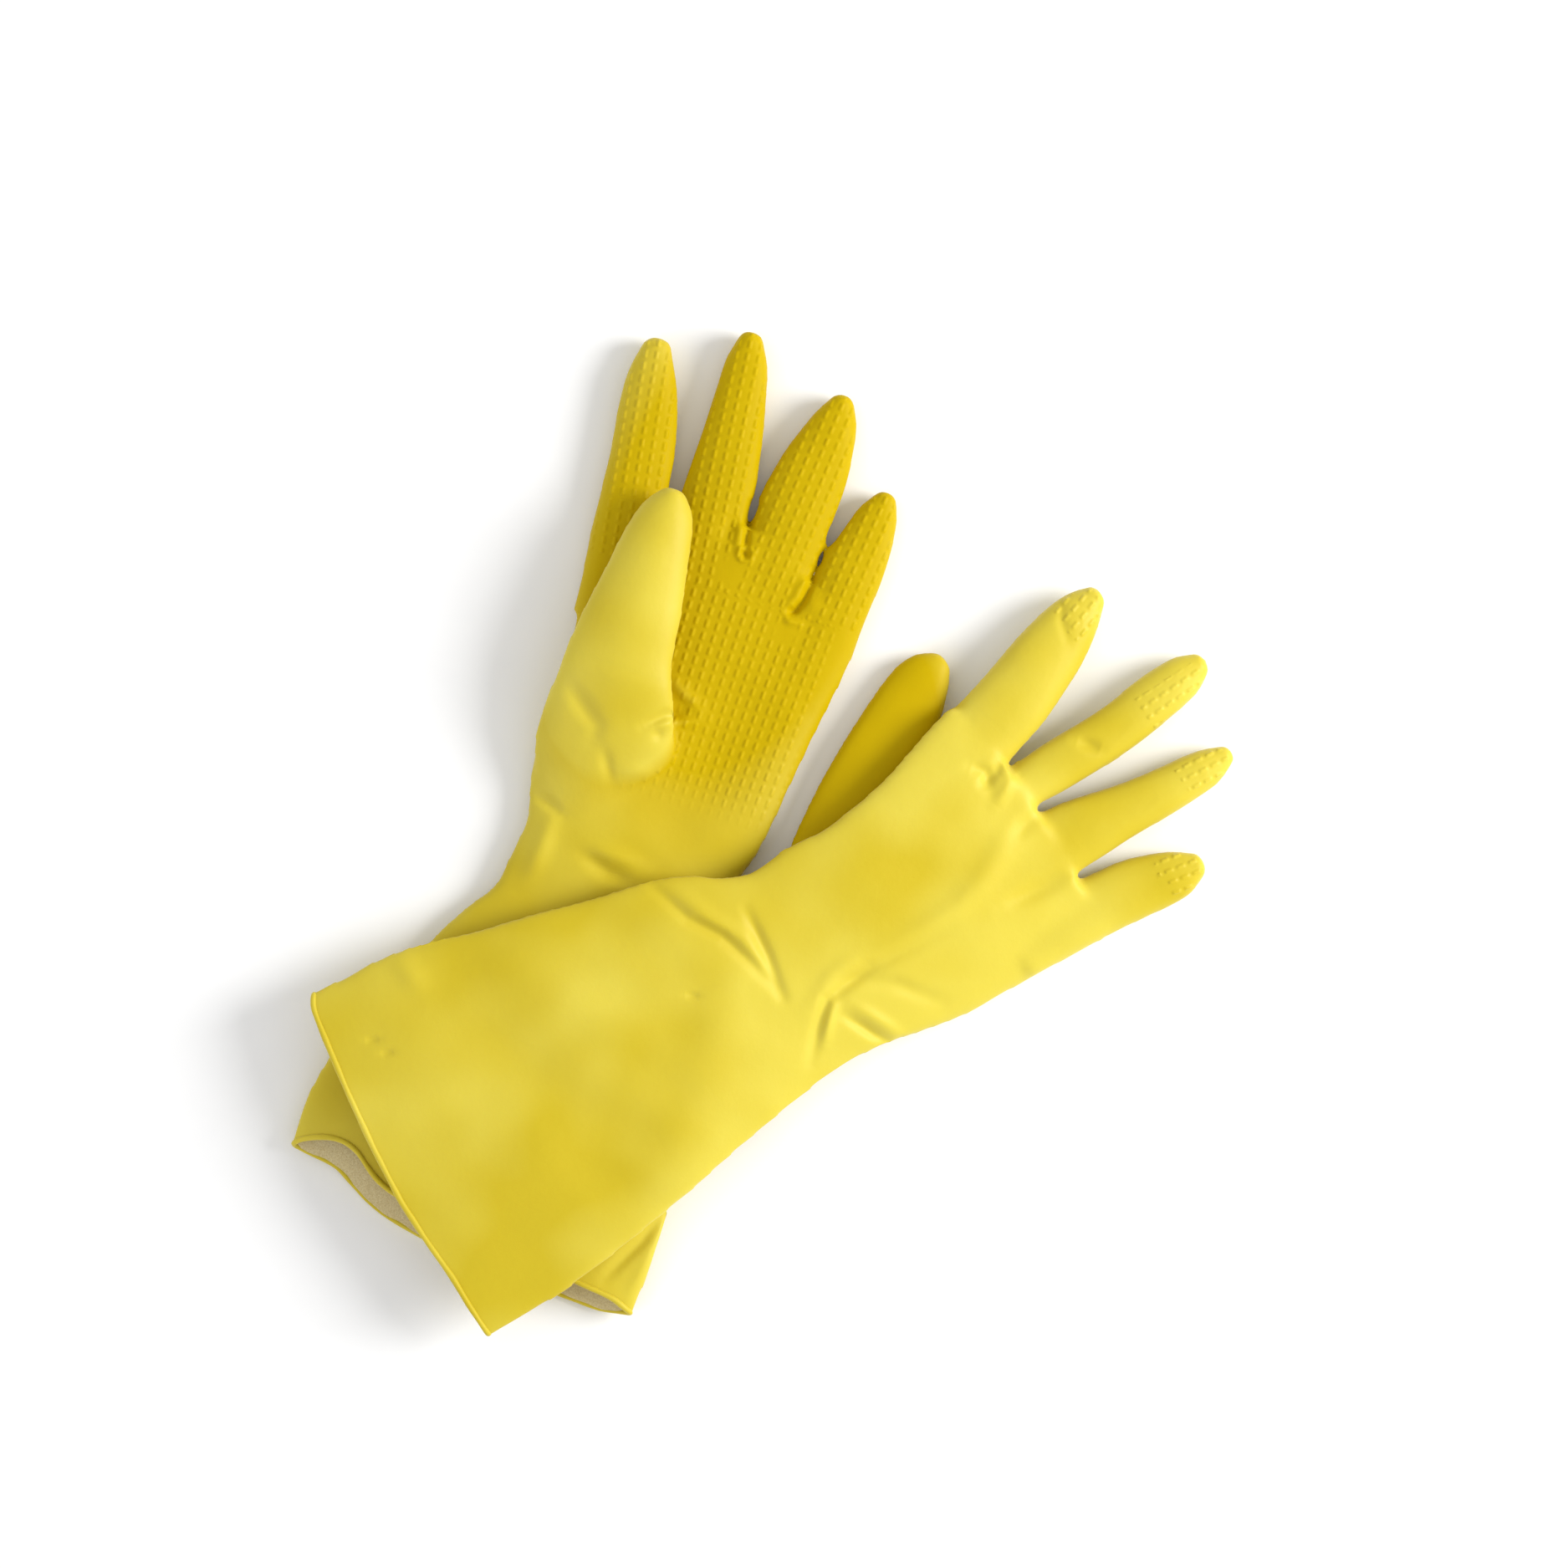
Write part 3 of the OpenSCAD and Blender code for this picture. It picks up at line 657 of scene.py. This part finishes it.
def grip_height(side, co, n):
    """The pattern on the palm and the fronts of the fingers."""
    if side == "left":
        facing = smoothstep(0.4, 0.75, n[:, 2]) * (co[:, 2] < GRIP_TOP)
        palm = smoothstep(*GRIP_START, co[:, 1])
        palm *= smoothstep(*GRIP_LEFT, co[:, 0]) * (1 - smoothstep(*GRIP_RIGHT, co[:, 0]))
        # the columns spread a little from the wrist to the knuckles
        spread = np.clip((co[:, 1] - 120) / 120, 0, 1.3)
        u = (co[:, 0] - GRIP_MIDDLE) / (0.86 + 0.16 * spread)
        pattern = dashes(u, co[:, 1]) * palm * (co[:, 1] < KNUCKLES)
        for name in FINGERS[1:]:
            root, ahead, across = root_frame(side, name)
            beside, along_it = (co[:, :2] - root) @ across, (co[:, :2] - root) @ ahead
            mine = (np.abs(beside) < ROOT_HALF[side][name] - GRIP_MARGIN) & (co[:, 1] >= KNUCKLES)
            mine &= along_it > -GRIP_BEFORE
            pattern[mine] = dashes(beside, along_it)[mine]
        for centre, radius in PLAIN:
            pattern *= 1 - np.exp(-((np.linalg.norm(co[:, :2] - np.array(centre), axis=1) / radius) ** 6))
        return pattern * facing * GRIP_HEIGHT
    facing = smoothstep(0.3, 0.7, n[:, 2])
    pattern = np.zeros(len(co))
    for low, high, x0, x1, name in TIP_PATCHES:
        mine = (co[:, 1] > low) & (co[:, 1] < high) & (co[:, 0] > x0) & (co[:, 0] < x1)
        _, ahead, across = root_frame(side, name)
        off = co[:, :2] - np.array([x0, low])
        pattern[mine] = dashes(off @ across, off @ ahead)[mine]
    return pattern * facing * GRIP_HEIGHT


def needs_detail(side, centres, facing):
    """Faces that carry the pattern or a sharp crease."""
    x, y, z = centres.T
    if side == "left":
        fine = (facing > 0.35) & (y > 148) & (z < 15.2) & (x > -36)
    else:
        fine = (facing > 0.25) & (y > 258) & (y > 276 - 0.25 * np.abs(x + 5))
    for line, width, _ in CREASES[side]:
        if width < SHARPEST:
            fine |= (facing > 0.35) & (np.abs(nearest(centres, line)[0]) < 1.8 * width)
    return fine


def add_detail(side, obj):
    """Finer faces where the pattern and the sharp creases lie."""
    centres, facing = (np.empty(len(obj.data.polygons) * 3, np.float32) for _ in range(2))
    obj.data.polygons.foreach_get("center", centres)
    obj.data.polygons.foreach_get("normal", facing)
    fine = needs_detail(side, centres.reshape(-1, 3).astype(float), facing.reshape(-1, 3)[:, 2])
    bm = bmesh.new()
    bm.from_mesh(obj.data)
    bm.faces.ensure_lookup_table()
    edges = list({e for i in np.flatnonzero(fine) for e in bm.faces[i].edges})
    bmesh.ops.subdivide_edges(bm, edges=edges, cuts=GRIP_CUTS, use_grid_fill=True, smooth=0.0)
    bm.to_mesh(obj.data)
    bm.free()
    apply_modifier(obj, "SMOOTH", factor=0.5, iterations=4)


# ------------------------ cutting and dividing

def cut_mouth(obj):
    """Opens the skin at the mouth, along a clean line."""
    bm = bmesh.new()
    bm.from_mesh(obj.data)
    geometry = bm.verts[:] + bm.edges[:] + bm.faces[:]
    bmesh.ops.bisect_plane(bm, geom=geometry, plane_co=(0, 0, 0), plane_no=(0, -1, 0), clear_outer=True)
    bm.to_mesh(obj.data)
    bm.free()


def root_frame(side, name):
    """A stall's root, and the directions along and across the stall there."""
    x, y, heading = ROOTS[side][name]
    h = math.radians(heading)
    return np.array([x, y]), np.array([-math.sin(h), math.cos(h)]), np.array([math.cos(h), math.sin(h)])


def in_stall(side, name, points):
    """Which points lie beyond a stall's root."""
    root, ahead, across = root_frame(side, name)
    d = points[:, :2] - root
    along_it, beside = d @ ahead, d @ across
    half = ROOT_HALF[side][name] + (0 if name == "thumb" else 0.25) * np.maximum(0, along_it - ROOT_FAN)
    inside = (along_it > 0) & (np.abs(beside) < half)
    if side == "left":
        inside &= points[:, 2] > THUMB_LEAST if name == "thumb" else points[:, 2] < FINGERS_MOST
    return inside


CUT_REACH = 2.5  # faces this near a root may be cut by it, mm
CUT_SLACK = 0.4  # faces this far below the folded thumb's lowest height may be cut too, mm


def cut_roots(side, obj, names):
    """Edges along each stall's root, so that the skin divides cleanly there."""
    bm = bmesh.new()
    bm.from_mesh(obj.data)
    for name in names:
        root, ahead, across = root_frame(side, name)
        near = []
        for f in bm.faces:
            c = f.calc_center_median()
            d = np.array([c.x, c.y]) - root
            beneath = side == "left" and name == "thumb" and c.z < THUMB_LEAST - CUT_SLACK
            if abs(d @ ahead) < CUT_REACH and abs(d @ across) < ROOT_HALF[side][name] + 1 and not beneath:
                near.append(f)
        geometry = list({v for f in near for v in f.verts}) + list({e for f in near for e in f.edges}) + near
        bmesh.ops.bisect_plane(bm, geom=geometry, plane_co=(*root, 0), plane_no=(*ahead, 0))
    bm.to_mesh(obj.data)
    bm.free()


def face_data(mesh):
    """Face corners as flat arrays, face starts, and face centres."""
    n = len(mesh.polygons)
    start, total = np.empty(n, np.int32), np.empty(n, np.int32)
    mesh.polygons.foreach_get("loop_start", start)
    mesh.polygons.foreach_get("loop_total", total)
    corners = np.empty(len(mesh.loops), np.int32)
    mesh.loops.foreach_get("vertex_index", corners)
    centres = np.empty(n * 3, np.float32)
    mesh.polygons.foreach_get("center", centres)
    return corners, start, total, centres.reshape(-1, 3).astype(float)


def divide(side, obj, names, label, inward=False):
    """The skin as a first piece and one for each stall, in the CAD frame."""
    mesh = obj.data
    corners, start, total, centres = face_data(mesh)
    owner = np.zeros(len(start), int)
    for i, name in enumerate(names[1:]):
        owner[(owner == 0) & in_stall(side, name, centres)] = i + 1
    co, n = to_frame(side, positions(mesh)), normals(mesh)
    n = turn(n, PLACES[side][1]) * (-1 if inward else 1)
    pieces = {}
    for i, name in enumerate(names):
        chosen = np.flatnonzero(owner == i)
        faces = [corners[start[f]:start[f] + total[f]] for f in chosen]
        used, inverse = np.unique(np.concatenate(faces), return_inverse=True)
        shapes, at = [], 0
        for f in faces:
            face = inverse[at:at + len(f)].tolist()
            shapes.append(face[::-1] if inward else face)
            at += len(f)
        piece = mesh_object(f"{side}_{name}_{label}", co[used], shapes)
        piece.data.polygons.foreach_set("use_smooth", np.ones(len(shapes), bool))
        piece.data.normals_split_custom_set_from_vertices([tuple(v) for v in n[used]])
        pieces[name] = piece
    return pieces


def loop_points(obj):
    """The mouth's edge, in order."""
    bm = bmesh.new()
    bm.from_mesh(obj.data)
    edges = dict.fromkeys(e for e in bm.edges if e.is_boundary)
    loops = []
    while edges:
        first = next(iter(edges))
        del edges[first]
        chain = [first.verts[0], first.verts[1]]
        while True:
            link = [e for e in chain[-1].link_edges if e in edges]
            if not link:
                break
            del edges[link[0]]
            chain.append(link[0].other_vert(chain[-1]))
        loops.append([tuple(v.co) for v in chain])
    bm.free()
    longest = max(loops, key=len)
    return np.array(longest[:-1] if longest[0] == longest[-1] else longest)


BEAD_STEP = 0.9  # mm between the bead's sections
BEAD_SMOOTHING = 6
BEAD_SIDES = 12
BEAD_WAVES = ((9, 0.07), (23, 0.05))  # waves round the mouth and their share of the radius
BEAD_SEED = 5


def bead(side, edge):
    """The rolled edge, a little uneven, along the mouth."""
    closed = np.r_[edge, edge[:1]]
    length = np.r_[0, np.cumsum(np.linalg.norm(np.diff(closed, axis=0), axis=1))]
    count = int(length[-1] / BEAD_STEP)
    at = np.linspace(0, length[-1], count, endpoint=False)
    path = np.column_stack([np.interp(at, length, closed[:, c]) for c in range(3)])
    for _ in range(BEAD_SMOOTHING):
        path = (np.roll(path, 1, 0) + 2 * path + np.roll(path, -1, 0)) / 4
    tangent = np.roll(path, -1, 0) - np.roll(path, 1, 0)
    tangent /= np.linalg.norm(tangent, axis=1)[:, None]
    back = np.tile([0.0, -1.0, 0.0], (count, 1))
    back -= (back * tangent).sum(1)[:, None] * tangent
    back /= np.linalg.norm(back, axis=1)[:, None]
    beside = np.cross(tangent, back)
    phases = np.random.default_rng(BEAD_SEED).uniform(0, 6.28, 3)
    turns = at / length[-1] * 2 * math.pi
    radius = np.ones(count)
    for (k, share), phase in zip(BEAD_WAVES, phases):
        radius += share * np.sin(k * turns + phase)
    radius *= BEAD_RADIUS
    angles = np.linspace(0, 2 * math.pi, BEAD_SIDES, endpoint=False)[None, :, None]
    spokes = np.cos(angles) * back[:, None] + np.sin(angles) * beside[:, None]
    points = (path[:, None] + radius[:, None, None] * spokes).reshape(-1, 3)
    points[:, 2] = np.maximum(points[:, 2], 0.02)
    faces = []
    for i in range(count):
        here, after = i * BEAD_SIDES, (i + 1) % count * BEAD_SIDES
        for j in range(BEAD_SIDES):
            k = (j + 1) % BEAD_SIDES
            faces.append((here + j, here + k, after + k, after + j))
    obj = mesh_object(f"{side}_mouth_bead", to_frame(side, points), faces)
    obj.data.polygons.foreach_set("use_smooth", np.ones(len(faces), bool))
    bm = bmesh.new()
    bm.from_mesh(obj.data)
    bmesh.ops.recalc_face_normals(bm, faces=bm.faces[:])
    bm.to_mesh(obj.data)
    bm.free()
    return obj


# ------------------------ materials

# lit and shaded copies of the latex colour: the two lit yellows, with random cloudy tone between them, are
# painted light, and the shaded yellow is painted shade
LIT_DEEP_YELLOW = (0.575, 0.44, 0.008, 1)
LIT_HAZY_YELLOW = (0.67, 0.55, 0.05, 1)
SHADED_YELLOW = (0.535, 0.375, 0.0005, 1)
# the cream flock's two speckle tones, tinted yellower as painted yellow bounce light from the latex round it
DARK_FLOCK_WITH_BOUNCE = (0.64, 0.51, 0.24, 1)
LIGHT_FLOCK_WITH_BOUNCE = (0.82, 0.71, 0.42, 1)
PAPER_TONES = ((0.93, 0.93, 0.93, 1), (0.94, 0.94, 0.94, 1))
# Ovals of the plan that get the darker shaded yellow, painted shade: middle and half size in metres; and the
# heights above which the paler lit yellow, painted light, returns
SHADED_OVALS = [((-0.045, 0.106, 0.0), (0.056, 0.1, 1.0)), ((0.017, 0.044, 0.0), (0.026, 0.055, 1.0))]
LIT_HEIGHTS = (0.0135, 0.0175)


def node_material(name):
    """A new material with its nodes, links and shader."""
    material = bpy.data.materials.new(name)
    material.use_nodes = True
    tree = material.node_tree
    return material, tree.nodes, tree.links, tree.nodes["Principled BSDF"]


def noise(nodes, links, coordinates, scale, detail=3.0, roughness=0.55):
    """Cloudy noise, its clouds about 1 / scale metres wide."""
    node = nodes.new("ShaderNodeTexNoise")
    node.inputs["Scale"].default_value = scale
    node.inputs["Detail"].default_value = detail
    node.inputs["Roughness"].default_value = roughness
    links.new(coordinates, node.inputs["Vector"])
    return node.outputs["Fac"]


def ramp(nodes, links, value, stops):
    """Colours between two stops of position and colour."""
    node = nodes.new("ShaderNodeValToRGB")
    node.color_ramp.elements[0].position, node.color_ramp.elements[0].color = stops[0]
    node.color_ramp.elements[1].position, node.color_ramp.elements[1].color = stops[1]
    links.new(value, node.inputs["Fac"])
    return node.outputs["Color"]


def bump(nodes, links, value, strength, distance, before=None):
    """Fine relief from a value, on top of the relief before it."""
    node = nodes.new("ShaderNodeBump")
    node.inputs["Strength"].default_value = strength
    node.inputs["Distance"].default_value = distance
    links.new(value, node.inputs["Height"])
    if before is not None:
        links.new(before, node.inputs["Normal"])
    return node.outputs["Normal"]


def map_range(nodes, links, value, source, target):
    """A value's source range stretched to its target range."""
    node = nodes.new("ShaderNodeMapRange")
    for name, number in zip(("From Min", "From Max", "To Min", "To Max"), (*source, *target)):
        node.inputs[name].default_value = number
    links.new(value, node.inputs["Value"])
    return node.outputs["Result"]


def join(nodes, links, operation, first, second):
    """Two values put together by a maths operation."""
    node = nodes.new("ShaderNodeMath")
    node.operation = operation
    links.new(first, node.inputs[0])
    links.new(second, node.inputs[1])
    return node.outputs["Value"]


def beyond_oval(nodes, links, at, centre, half):
    """0 over an oval of the plan, rising to 1 around it."""
    place = at
    for operation, amount in (("SUBTRACT", centre), ("DIVIDE", half)):
        node = nodes.new("ShaderNodeVectorMath")
        node.operation = operation
        node.inputs[1].default_value = amount
        links.new(place, node.inputs[0])
        place = node.outputs["Vector"]
    reach = nodes.new("ShaderNodeVectorMath")
    reach.operation = "LENGTH"
    links.new(place, reach.inputs[0])
    return map_range(nodes, links, reach.outputs["Value"], (0.8, 1.15), (0, 1))


def latex():
    """Matt yellow latex: cloudy colour, paler and hazier where painted lit and darker where painted in shade,
    a faint grain, a soft sheen painted stronger where lit.
    """
    material, nodes, links, shader = node_material("yellow_latex")
    at = nodes.new("ShaderNodeTexCoord").outputs["Object"]
    cloud = noise(nodes, links, at, 16, 2.0)
    lit_colour = ramp(nodes, links, cloud, [(0.36, LIT_DEEP_YELLOW), (0.6, LIT_HAZY_YELLOW)])
    # the left palm with its finger fronts and the right thumb lie low in shadow and get the darker shaded
    # yellow, painted shade; higher up and elsewhere the paler lit yellow is painted light
    outside = [beyond_oval(nodes, links, at, centre, half) for centre, half in SHADED_OVALS]
    height = nodes.new("ShaderNodeSeparateXYZ")
    links.new(at, height.inputs["Vector"])
    above = map_range(nodes, links, height.outputs["Z"], LIT_HEIGHTS, (0, 1))
    lit_share = join(nodes, links, "MAXIMUM", join(nodes, links, "MINIMUM", *outside), above)
    mix = nodes.new("ShaderNodeMix")
    mix.data_type = "RGBA"
    links.new(lit_share, mix.inputs["Factor"])
    mix.inputs[6].default_value = SHADED_YELLOW
    links.new(lit_colour, mix.inputs[7])
    links.new(mix.outputs[2], shader.inputs["Base Color"])
    # painted highlight: more specular reflection and sheen where the latex is painted lit, less in its
    # painted shade
    for name, spread in (("Specular IOR Level", (0.06, 0.27)), ("Sheen Weight", (0.0, 0.1))):
        links.new(map_range(nodes, links, lit_share, (0, 1), spread), shader.inputs[name])
    patch = noise(nodes, links, at, 60, 4)
    links.new(map_range(nodes, links, patch, (0, 1), (0.42, 0.6)), shader.inputs["Roughness"])
    grain = noise(nodes, links, at, 1500, 2)
    soft = noise(nodes, links, at, 220, 3)
    first = bump(nodes, links, soft, 0.22, 0.0005)
    links.new(bump(nodes, links, grain, 0.12, 0.0001, first), shader.inputs["Normal"])
    shader.inputs["Subsurface Weight"].default_value = 0.1
    shader.inputs["Subsurface Radius"].default_value = (1.0, 0.75, 0.15)
    shader.inputs["Subsurface Scale"].default_value = 0.002
    shader.inputs["Sheen Roughness"].default_value = 0.5
    return material


def flock():
    """Short cream cotton flock, tinted yellower by painted yellow bounce light from the latex: a fuzzy,
    speckled pile.
    """
    material, nodes, links, shader = node_material("cream_flock")
    at = nodes.new("ShaderNodeTexCoord").outputs["Object"]
    speckle = noise(nodes, links, at, 1800, 4, 0.7)
    colour = ramp(nodes, links, speckle, [(0.35, DARK_FLOCK_WITH_BOUNCE), (0.66, LIGHT_FLOCK_WITH_BOUNCE)])
    links.new(colour, shader.inputs["Base Color"])
    pile = noise(nodes, links, at, 2600, 3, 0.7)
    clump = noise(nodes, links, at, 500, 3)
    first = bump(nodes, links, clump, 0.4, 0.0004)
    links.new(bump(nodes, links, pile, 0.7, 0.0002, first), shader.inputs["Normal"])
    shader.inputs["Roughness"].default_value = 0.95
    shader.inputs["Specular IOR Level"].default_value = 0.15
    shader.inputs["Sheen Weight"].default_value = 0.4
    shader.inputs["Sheen Roughness"].default_value = 0.6
    return material


def paper():
    """The pale surface that the gloves lie on."""
    material, nodes, links, shader = node_material("white_surface")
    at = nodes.new("ShaderNodeTexCoord").outputs["Object"]
    colour = ramp(nodes, links, noise(nodes, links, at, 40), list(zip((0.4, 0.6), PAPER_TONES)))
    links.new(colour, shader.inputs["Base Color"])
    shader.inputs["Roughness"].default_value = 0.9
    shader.inputs["Specular IOR Level"].default_value = 0.1
    return material


LATEX, FLOCK = latex(), flock()
WRIST_BLEND = 12.0  # a span this far each side of the wrist's hinge, mm
STALL_BLEND = 18.0  # a span this far from a stall's root, mm


def settle(side, piece, name, material, node):
    """Gives a piece its material, attaches a root piece to its hand body, and hides the CAD nodes that it
    stands for.
    """
    piece.data.materials.append(material)
    if name == "root":
        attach(piece, f"{side}_hand_body")
    elif name == "body":
        x, y = WRISTS[side]
        ends = to_frame(side, np.array([[x, y - WRIST_BLEND, 12], [x, y + WRIST_BLEND, 12]]))
        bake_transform(piece)
    else:
        root, ahead, _ = root_frame(side, name)
        ends = to_frame(side, np.array([[*root, 8], [*(root + ahead * STALL_BLEND), 8]]))
        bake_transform(piece)
    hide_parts(*node)


def kept_inside(side, skin, points):
    """The lining's points, moved in wherever they come too near the film or through it."""
    tree = BVHTree.FromPolygons([v.co for v in skin.data.vertices], [p.vertices for p in skin.data.polygons])
    free = hollow(points) < 0.1 if side == "left" else np.ones(len(points), bool)
    out = points.copy()
    for i in range(len(points)):
        place, normal, _, _ = tree.find_nearest(Vector(points[i]))
        depth = (place - Vector(points[i])).dot(normal)
        if depth < 0 or (depth < LEAST_DEPTH and (free[i] or abs(normal.z) < WALL)):
            out[i] = place - normal * LEAST_DEPTH
    return out


def dress(side, names):
    """One skin of a glove, shaped, lined, divided and settled. Returns the mouth's edge."""
    skin = joined_skin(side, ["thumb"] if names[0] == "root" else names)
    if names[0] == "body":
        cut_mouth(skin)
        set_positions(skin.data, shape_mouth(side, positions(skin.data)))
    inner = bpy.data.objects.new(f"{side}_inner", skin.data.copy())
    bpy.context.scene.collection.objects.link(inner)
    co, n = positions(inner.data), normals(inner.data)
    edge = push_in(side, co, n)
    edge[:, 2] = np.maximum(edge[:, 2], 0.05)
    set_positions(inner.data, edge)
    rim = loop_points(inner) if names[0] == "body" else None
    co = push_in(side, co, n, lining=True)
    co[:, 2] = np.maximum(co[:, 2], 0.05)
    lining = co - n * LINING_DEPTH
    add_detail(side, skin)
    co, n = positions(skin.data), normals(skin.data)
    set_positions(skin.data, push_in(side, co, n))
    n = normals(skin.data)
    co = positions(skin.data) + n * grip_height(side, co, n)[:, None]
    co[:, 2] = np.maximum(co[:, 2], 0.05)
    set_positions(skin.data, co)
    set_positions(inner.data, kept_inside(side, skin, lining))
    for label, skin_part, material, slot, suffix in (
        ("film", skin, LATEX, "latex", ""),
        ("flock", inner, FLOCK, "flock", "_lining"),
    ):
        cut_roots(side, skin_part, names[1:])
        regions = {"body": ("cuff", "hand"), "root": ("hand",)}
        for name, piece in divide(side, skin_part, names, label, inward=label == "flock").items():
            node = [f"{side}_{region}{suffix}" for region in regions.get(name, (name,))]
            settle(side, piece, name, material, node)
        bpy.data.objects.remove(skin_part)
    return rim


def glove(side):
    """A whole glove with its bead."""
    if side == "left":
        rim = dress(side, ("body", *FINGERS))
    else:
        # the right thumb lies close under the hand: its own skin starts inside the hand
        rim = dress(side, ("body", *FINGERS[1:]))
        dress(side, ("root", "thumb"))
    edge = bead(side, rim)
    edge.data.materials.append(LATEX)
    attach(edge, f"{side}_cuff_body")
    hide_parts(f"{side}_cuff_bead")


glove("left")
glove("right")


# ------------------------ floor, light and camera

def area_light(name, place, size, power):
    """A round soft light that faces the gloves."""
    data = bpy.data.lights.new(name, "AREA")
    data.shape = "DISK"
    data.size = size
    data.energy = power
    obj = bpy.data.objects.new(name, data)
    obj.location = place
    obj.rotation_euler = (-Vector(place)).to_track_quat("-Z", "Y").to_euler()
    bpy.context.scene.collection.objects.link(obj)


ROLL = math.radians(18)  # the picture's up, to the left of +Y
VIEW_MIDDLE = (-0.0073, 0.0325)
VIEW_WIDTH = 0.5168
VIEW_DISTANCE = 1.8
TARGET_HEIGHT = 0.012  # the view is as wide as VIEW_WIDTH at this height
SENSOR = 36.0
FLOOR_HALF = 3


def picture(right, up, height):
    """A place given by how far it is to the picture's right and up from its middle, in metres."""
    return (
        VIEW_MIDDLE[0] + right * math.cos(ROLL) - up * math.sin(ROLL),
        VIEW_MIDDLE[1] + right * math.sin(ROLL) + up * math.cos(ROLL),
        height,
    )


corners = [(x * FLOOR_HALF, y * FLOOR_HALF, 0) for x, y in ((-1, -1), (1, -1), (1, 1), (-1, 1))]
floor = mesh_object("floor", corners, [(0, 1, 2, 3)])
floor.data.materials.append(paper())

area_light("key", picture(1.3, 0.12, 0.8), size=0.8, power=24)
area_light("fill", picture(-1.2, -0.6, 0.9), size=1.0, power=3.5)

world = bpy.data.worlds.new("studio")
world.use_nodes = True
world.node_tree.nodes["Background"].inputs["Color"].default_value = (1, 1, 1, 1)
world.node_tree.nodes["Background"].inputs["Strength"].default_value = 0.7
bpy.context.scene.world = world
bpy.context.scene.view_settings.view_transform = "Standard"

camera_data = bpy.data.cameras.new("camera")
camera_data.sensor_width = SENSOR
camera_data.lens = SENSOR * VIEW_DISTANCE / VIEW_WIDTH
camera = bpy.data.objects.new("camera", camera_data)
camera.location = (*VIEW_MIDDLE, VIEW_DISTANCE + TARGET_HEIGHT)
camera.rotation_euler = (0, 0, ROLL)
bpy.context.scene.collection.objects.link(camera)
bpy.context.scene.camera = camera
